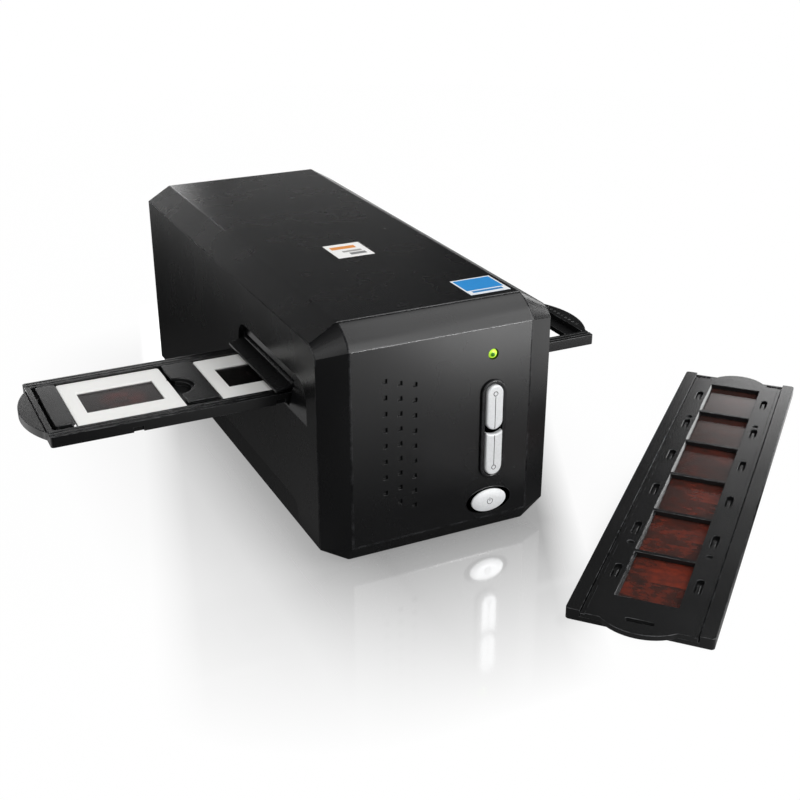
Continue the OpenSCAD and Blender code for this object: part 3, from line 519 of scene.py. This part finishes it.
def prism(name, outline, low, high, material):
    """A closed bar over an outline of (x, z) points, from low to high in y."""
    bm = bmesh.new()
    rings = [[bm.verts.new((x, y, z)) for x, z in outline] for y in (low, high)]
    count = len(outline)
    for i in range(count):
        j = (i + 1) % count
        bm.faces.new((rings[0][i], rings[0][j], rings[1][j], rings[1][i]))
    bm.faces.new(rings[0])
    bm.faces.new(rings[1])
    bmesh.ops.recalc_face_normals(bm, faces=bm.faces)
    return new_object(name, bm, [material])


def arc(x, z, radius, start, turn, count=40):
    """Points of an arc of so many degrees."""
    angles = [math.radians(start + turn * i / (count - 1)) for i in range(count)]
    return [(x + radius * math.cos(a), z + radius * math.sin(a)) for a in angles]


def open_ring(x, z, outer, inner, start, turn):
    """A ring with a gap, as one outline."""
    return arc(x, z, outer, start, turn) + arc(x, z, inner, start, turn)[::-1]


def bar(x0, z0, x1, z1):
    """A rectangle's outline."""
    return [(x0, z0), (x1, z0), (x1, z1), (x0, z1)]


# ---------- pieces ----------

# edge lengths and places, in metres; a corner within AT_FRONT of a front face counts as on it
LONG_LINE = 60 * MM
SHORT_LINE = 20 * MM
BROW_FOOT = 108.4 * MM
BROW_REACH = 16 * MM
SIDE_MARGIN = 1 * MM
AT_FRONT = 0.1 * MM

# edge radii, in mm as radii() takes them
CAP_RADIUS = 0.9
CREASE_RADIUS = 0.8
COLLAR_RADIUS = 0.6
SHELL_RADIUS = 0.5
HOLDER_RADIUS = 0.25
FINE_RADIUS = 0.15
PIT_RADIUS = 0.1


def even_rule(radius):
    """The same radius on every edge."""
    return lambda edge: radius


def casing_rule(edge):
    """Larger radii on the long lines of a shell, and small ones on its details."""
    return SHELL_RADIUS if edge.calc_length() > LONG_LINE else FINE_RADIUS


def bezel_rule(edge):
    """Soft creases round the flat face, the brow and down the sides, and fine rims everywhere else."""
    low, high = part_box("front_bezel")
    if edge.calc_length() < SHORT_LINE:
        if all(v.co.z > BROW_FOOT and v.co.y < low.y + BROW_REACH for v in edge.verts):
            return SHELL_RADIUS
        return PIT_RADIUS if all(v.co.y < low.y + AT_FRONT for v in edge.verts) else 0
    inner = all(abs(v.co.x) < high.x - SIDE_MARGIN for v in edge.verts)
    return CREASE_RADIUS if inner else SHELL_RADIUS


def front_rule(front, radius):
    """Rounds the edges of a cap's face and leaves the ones behind it sharp."""
    return lambda edge: radius if max(v.co.y for v in edge.verts) < front + AT_FRONT else 0


def make_casing():
    """The shells of the casing and the trim in its front."""
    dressed("top_cover", casing_rule)
    dressed("front_bezel", bezel_rule)
    dressed("base_tray", casing_rule)
    dressed("rear_panel", even_rule(FINE_RADIUS))
    dressed("button_collar", even_rule(COLLAR_RADIUS), segments=4)
    dressed("power_button_ring", even_rule(HOLDER_RADIUS))


# how far a cutter stands out of the face
CUTTER_OUT = 2 * MM

# on each scan button the heights of its ring's centre and of its line's far end
BUTTON_MARKS = {"upper_button": (76.1 * MM, 58.3 * MM), "lower_button": (37.9 * MM, 54.6 * MM)}
RING_OUTER = 1.25 * MM
RING_INNER = 0.9 * MM
LINE_START = 1.2 * MM
LINE_WIDTH = 0.34 * MM
MARK_DEPTH = 0.25 * MM


def engraved(outlines, front, deep):
    """Cutters for marks of the depth in a face, given by their outlines."""
    outer, inner = front - CUTTER_OUT, front + deep
    return [prism("mark", outline, outer, inner, LOOKS["trim_black"]) for outline in outlines]


def make_buttons():
    """The two scan buttons, each with an engraved ring and line."""
    for node, (dot, end) in BUTTON_MARKS.items():
        low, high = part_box(node)
        x = (low.x + high.x) / 2
        start = dot + math.copysign(LINE_START, end - dot)
        ring = open_ring(x, dot, RING_OUTER, RING_INNER, 0, 359)
        line = bar(x - LINE_WIDTH / 2, min(start, end), x + LINE_WIDTH / 2, max(start, end))
        marks = engraved([ring, line], low.y, MARK_DEPTH)
        dressed(node, front_rule(low.y, CAP_RADIUS), node + "_cap", marks, segments=4)


# the power button: its rim behind the scan buttons' faces, its dome, and the sign in it
POWER_SET_BACK = 1.5 * MM
DOME_RIM = 0.5 * MM
DOME_RUN = 4.6 * MM
DOME_HEIGHT = 0.85 * MM
DOME_STEPS = 8
SIGN_OUTER = 1.6 * MM
SIGN_INNER = 1.3 * MM
STROKE_HALF = 0.16 * MM
STROKE_FOOT = 0.1 * MM
STROKE_TOP = 1.9 * MM
SIGN_DEPTH = 0.3 * MM


def dome_profile():
    """Steps of the dome as (inset, height over the rim's plane): a quarter round and a flat curve."""
    turns = [math.radians(15 * i) for i in range(1, 7)]
    steps = [(DOME_RIM * (1 - math.cos(a)), DOME_RIM * (math.sin(a) - 1)) for a in turns]
    for i in range(1, DOME_STEPS + 1):
        t = i / DOME_STEPS
        steps.append((DOME_RIM + (DOME_RUN - DOME_RIM) * t, DOME_HEIGHT * (1 - (1 - t) ** 2)))
    return steps


def domed(bm, rim_y):
    """Cuts an oval cap off behind its rim and draws it out into a dome. Gives the dome's centre (x, z)."""
    everything = bm.verts[:] + bm.edges[:] + bm.faces[:]
    bmesh.ops.bisect_plane(bm, geom=everything, plane_co=(0, rim_y + DOME_RIM, 0), plane_no=(0, -1, 0),
                           clear_outer=True)
    rim = [edge for edge in bm.edges if edge.is_boundary]
    ring = {vert for edge in rim for vert in edge.verts}
    x = sum(v.co.x for v in ring) / len(ring)
    z = sum(v.co.z for v in ring) / len(ring)
    half_width = max(v.co.x for v in ring) - x
    half_height = max(v.co.z for v in ring) - z
    inset = 0.0
    for step, height in dome_profile():
        grown = bmesh.ops.extrude_edge_only(bm, edges=rim)["geom"]
        rim = [g for g in grown if isinstance(g, bmesh.types.BMEdge)]
        for vert in (g for g in grown if isinstance(g, bmesh.types.BMVert)):
            vert.co.x = x + (vert.co.x - x) * (half_width - step) / (half_width - inset)
            vert.co.z = z + (vert.co.z - z) * (half_height - step) / (half_height - inset)
            vert.co.y = rim_y - height
        inset = step
    bmesh.ops.contextual_create(bm, geom=rim)
    bmesh.ops.recalc_face_normals(bm, faces=bm.faces)
    return x, z


def make_power_button():
    """The oval power button, its front drawn out into a smooth dome with a plain on-off sign."""
    node = "power_button"
    rim_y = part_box("upper_button")[0].y + POWER_SET_BACK
    bm = cad_copy(node)
    x, z = domed(bm, rim_y)
    cap = new_object("power_button_cap", bm, [LOOKS[SLOT_OF[node]]])
    ring = open_ring(x, z, SIGN_OUTER, SIGN_INNER, 118, 304)
    stroke = bar(x - STROKE_HALF, z + STROKE_FOOT, x + STROKE_HALF, z + STROKE_TOP)
    cut(cap, engraved([ring, stroke], rim_y - DOME_HEIGHT, SIGN_DEPTH))
    smooth(cap, 30)
    stands_for(cap, node)


def make_holders():
    """The slide holder, its slides, the strip holder and the dust doors."""
    for node in ("slide_holder_frame", "slide_retainers", "slide_mounts", "strip_holder_frame",
                 "strip_holder_lid", "left_dust_door", "right_dust_door"):
        dressed(node, even_rule(HOLDER_RADIUS))


def keep_nodes():
    """Materials and soft edges for the CAD nodes that stay as they are."""
    for node, obj in CAD.items():
        obj.data.materials.clear()
        obj.data.materials.append(LOOKS[SLOT_OF[node]])
        if obj.hide_render:
            continue
        weld = obj.modifiers.new("weld", "WELD")
        weld.merge_threshold = WELD
        flat = obj.modifiers.new("flat", "DECIMATE")
        flat.decimate_type = "DISSOLVE"
        flat.angle_limit = FLAT
        bevel = obj.modifiers.new("round", "BEVEL")
        bevel.limit_method = "ANGLE"
        bevel.angle_limit = KEPT_SHARP
        bevel.width = FINE_RADIUS * MM
        bevel.segments = 2
        bevel.use_clamp_overlap = True
        even = obj.modifiers.new("even_normals", "WEIGHTED_NORMAL")
        even.keep_sharp = True


# ---------- camera and lights ----------

CAMERA_PLACE = Vector((-0.2456, -0.6009, 0.3151))
CAMERA_AZIMUTH = math.radians(-25.68)
CAMERA_ELEVATION = math.radians(24.36)
CAMERA_ROLL = math.radians(-0.11)
CAMERA_LENS = 56.74
CAMERA_SENSOR = 36


def make_camera():
    """The camera at the photograph's viewing angle."""
    az, el, roll = CAMERA_AZIMUTH, CAMERA_ELEVATION, CAMERA_ROLL
    back = Vector((math.sin(az) * math.cos(el), -math.cos(az) * math.cos(el), math.sin(el)))
    right = Vector((math.cos(az), math.sin(az), 0))
    up = back.cross(right)
    x = math.cos(roll) * right + math.sin(roll) * up
    y = -math.sin(roll) * right + math.cos(roll) * up
    data = bpy.data.cameras.new("camera")
    data.lens = CAMERA_LENS
    data.sensor_width = CAMERA_SENSOR
    data.sensor_fit = "HORIZONTAL"
    data.clip_start = 0.01
    data.clip_end = 60
    camera = bpy.data.objects.new("camera", data)
    SCENE.collection.objects.link(camera)
    camera.matrix_world = Matrix((x, y, back)).transposed().to_4x4()
    camera.location = CAMERA_PLACE
    SCENE.camera = camera


STUDIO_MIDDLE = Vector((0, -0.05, 0.1))
LIGHT_DISTANCE = 1.5
CARD_PLACE = Vector((0.21, -0.43, 0.002))
CARD_SIZE = 0.2
CARD_STRENGTH = 5.0


def panel_light(name, place, aim, along, width, height, strength):
    """A soft panel with its width along a direction, whose face has the strength as its radiance."""
    data = bpy.data.lights.new(name, "AREA")
    data.shape = "RECTANGLE"
    data.size = width
    data.size_y = height
    data.energy = strength * math.pi * width * height
    light = bpy.data.objects.new(name, data)
    SCENE.collection.objects.link(light)
    z = (place - aim).normalized()
    x = Vector(along)
    x = (x - x.dot(z) * z).normalized()
    light.matrix_world = Matrix((x, z.cross(x), z)).transposed().to_4x4()
    light.location = place
    light.visible_camera = False


def studio_light(name, azimuth, elevation, width, height, strength):
    """A panel that faces the object from a direction, with its azimuth clockwise from the back."""
    turn, rise = math.radians(azimuth), math.radians(elevation)
    way = Vector((math.sin(turn) * math.cos(rise), math.cos(turn) * math.cos(rise), math.sin(rise)))
    across = (math.cos(turn), -math.sin(turn), 0)
    panel_light(name, STUDIO_MIDDLE + LIGHT_DISTANCE * way, STUDIO_MIDDLE, across, width, height, strength)


def make_lights():
    """Large soft panels, and small ones whose reflections draw the edges of the dark casing."""
    studio_light("front_softbox", 145, 32, 2.4, 1.2, 2.7)
    studio_light("top_softbox", 92, 62, 1.3, 0.6, 2.0)
    studio_light("left_softbox", 255, 42, 1.4, 1.0, 1.2)
    studio_light("crease_strip", 154, 11, 0.4, 0.12, 26.0)
    above = CARD_PLACE + Vector((0, 0, 1))
    panel_light("floor_card", CARD_PLACE, above, (1, 0, 0), CARD_SIZE, CARD_SIZE, CARD_STRENGTH)
    studio_light("rear_left_strip", -6, 4, 0.36, 0.24, 8.5)
    studio_light("rear_strip", 5, 12, 0.36, 0.28, 3.4)
    studio_light("rear_right_strip", 22, 4, 0.36, 0.24, 1.4)
    studio_light("right_strip", 54, 12, 0.36, 0.26, 3.6)
    studio_light("slope_strip", 74, 7, 0.4, 0.3, 6.0)


# ---------- surroundings ----------

WORLD_FILL = 0.3
WORLD_GLOSS = 0.04

# the floor's mirror: its share close to the casing and to the strip holder, and how far out it reaches
CASING_MIRROR = 0.64
CASING_MIRROR_REACH = 0.125
STRIP_MIRROR = 0.3
STRIP_MIRROR_REACH = 0.03
MIRROR_ROUGHNESS = 0.09

FLOOR_RADIUS = 12
FLOOR_DROP = 0.2 * MM
FLOOR_TONE = (0.9, 0.9, 0.9, 1)
FLOOR_TONE_IN_GLOSS = (0.25, 0.25, 0.25, 1)
WHITE = (1, 1, 1, 1)


def seen_by_gloss(nodes):
    """The ray kinds, and 1 for the rays that gloss and glass send out."""
    ray = nodes.node("LightPath").outputs
    return ray, nodes.math("MAXIMUM", ray["Is Glossy Ray"], ray["Is Transmission Ray"])


def make_world():
    """White to the camera, a soft grey fill, and near darkness for gloss."""
    world = bpy.data.worlds.new("studio")
    SCENE.world = world
    world.use_nodes = True
    w = Nodes(world.node_tree)
    w.tree.nodes.clear()
    ray, gloss = seen_by_gloss(w)
    level = w.blend(ray["Is Camera Ray"], w.blend(gloss, WORLD_FILL, WORLD_GLOSS), 1.0)
    background = w.node("Background", {"Color": WHITE, "Strength": level})
    w.node("OutputWorld", {"Surface": background.outputs[0]})


def box_distance(s, spot, centre, half, turn=0.0):
    """Distance on the floor from an upright box that is turned about its centre."""
    moved = s.vector_math("SUBTRACT", spot, centre).outputs["Vector"]
    if turn:
        inputs = {"Vector": moved, "Angle": -turn}
        moved = s.node("VectorRotate", inputs, rotation_type="Z_AXIS").outputs["Vector"]
    size = s.vector_math("ABSOLUTE", moved).outputs["Vector"]
    past = s.vector_math("SUBTRACT", size, half).outputs["Vector"]
    out = s.vector_math("MAXIMUM", past).outputs["Vector"]
    return s.vector_math("LENGTH", out).outputs["Value"]


def along(s, spot, x, y):
    """How far a point lies along a level direction."""
    return s.vector_math("DOT_PRODUCT", spot, (x, y, 0)).outputs["Value"]


def mirror_share(s, spot, casing, gloss):
    """How much the floor mirrors: in front of the casing up to its two outer corners, and by the strip."""
    strip = box_distance(s, spot, STRIP_PLACE, STRIP_HALF, STRIP_TURN)
    near_casing = s.ramp(casing, 0.0, CASING_MIRROR_REACH, CASING_MIRROR, 0.0)
    weaker_left = s.ramp(s.split(spot)["X"], -0.09, -0.03, 0.45)
    near_strip = s.ramp(strip, 0.0, STRIP_MIRROR_REACH, STRIP_MIRROR, 0.0)
    share = s.math("MAXIMUM", s.math("MULTIPLY", near_casing, weaker_left), near_strip)
    right_end = s.ramp(along(s, spot, 0.9, -0.43), 0.108, 0.128, 1.0, 0.0)
    left_end = s.ramp(along(s, spot, 0.97, -0.244), -0.105, -0.085)
    shown = s.math("MULTIPLY", right_end, left_end)
    return s.math("MULTIPLY", share, s.math("MULTIPLY", shown, s.math("SUBTRACT", 1.0, gloss)))


def bright_zone(s, spot, away):
    """The white of the floor that gloss sees: dark close by, and white farther out."""
    place = s.split(spot)
    ahead = s.math("MULTIPLY", s.ramp(place["Y"], -0.18, -0.36, 0.0, 0.8), s.ramp(place["X"], -0.13, -0.05))
    right = s.math("MULTIPLY", s.ramp(place["X"], 0.17, 0.27), s.ramp(place["Y"], 0.1, -0.05))
    forward = s.ramp(place["Y"], 0.12, -0.08, 0.02, 0.12)
    close_left = s.math("MULTIPLY", s.ramp(place["X"], -0.06, -0.07), forward)
    left = s.math("MAXIMUM", s.ramp(place["X"], -0.17, -0.27), close_left)
    left = s.math("MULTIPLY", left, s.ramp(place["Y"], -0.2, -0.1))
    beside = s.math("MAXIMUM", left, right)
    return s.math("MAXIMUM", s.math("MAXIMUM", ahead, beside), s.ramp(away, 0.5, 1.3))


def make_floor():
    """A pale floor that keeps the shadow, mirrors the object close to it, and fades to white."""
    bm = bmesh.new()
    bmesh.ops.create_circle(bm, cap_ends=True, segments=64, radius=FLOOR_RADIUS)
    floor = new_object("floor", bm)
    floor.location.z = -FLOOR_DROP
    s = Shader("floor", (0.88, 0.88, 0.88), 0.6)
    floor.data.materials.append(s.material)

    spot = s.node("NewGeometry").outputs["Position"]
    away = s.vector_math("LENGTH", spot).outputs["Value"]
    casing = box_distance(s, spot, (0, 0, 0), CASING_HALF)
    ray, gloss = seen_by_gloss(s)

    # the matte part keeps the shadow, and gives way to plain white away from the casing
    seen = s.math("MAXIMUM", ray["Is Camera Ray"], s.math("MULTIPLY", gloss, bright_zone(s, spot, away)))
    fade = s.math("MAXIMUM", s.ramp(away, 0.3, 1.1), s.ramp(casing, 0.0, 0.09, 0.75, 0.985))
    grey = s.mix(gloss, FLOOR_TONE, FLOOR_TONE_IN_GLOSS)
    white = s.node("Emission", {"Color": WHITE, "Strength": seen}).outputs[0]
    matte = s.node("BsdfDiffuse", {"Color": grey}).outputs[0]
    paper = s.node("MixShader", {0: fade, 1: matte, 2: white}).outputs[0]
    shine = s.node("BsdfAnisotropic", {"Color": WHITE, "Roughness": MIRROR_ROUGHNESS}).outputs[0]
    share = mirror_share(s, spot, casing, gloss)
    top = s.node("MixShader", {0: share, 1: paper, 2: shine}).outputs[0]
    s.feed(s.tree.nodes["Material Output"].inputs["Surface"], top)
    s.tree.nodes.remove(s.surface)


LOOKS = make_looks()
make_casing()
make_buttons()
make_power_button()
make_holders()
keep_nodes()
SCENE.view_settings.view_transform = "Standard"
make_camera()
make_world()
make_floor()
make_lights()
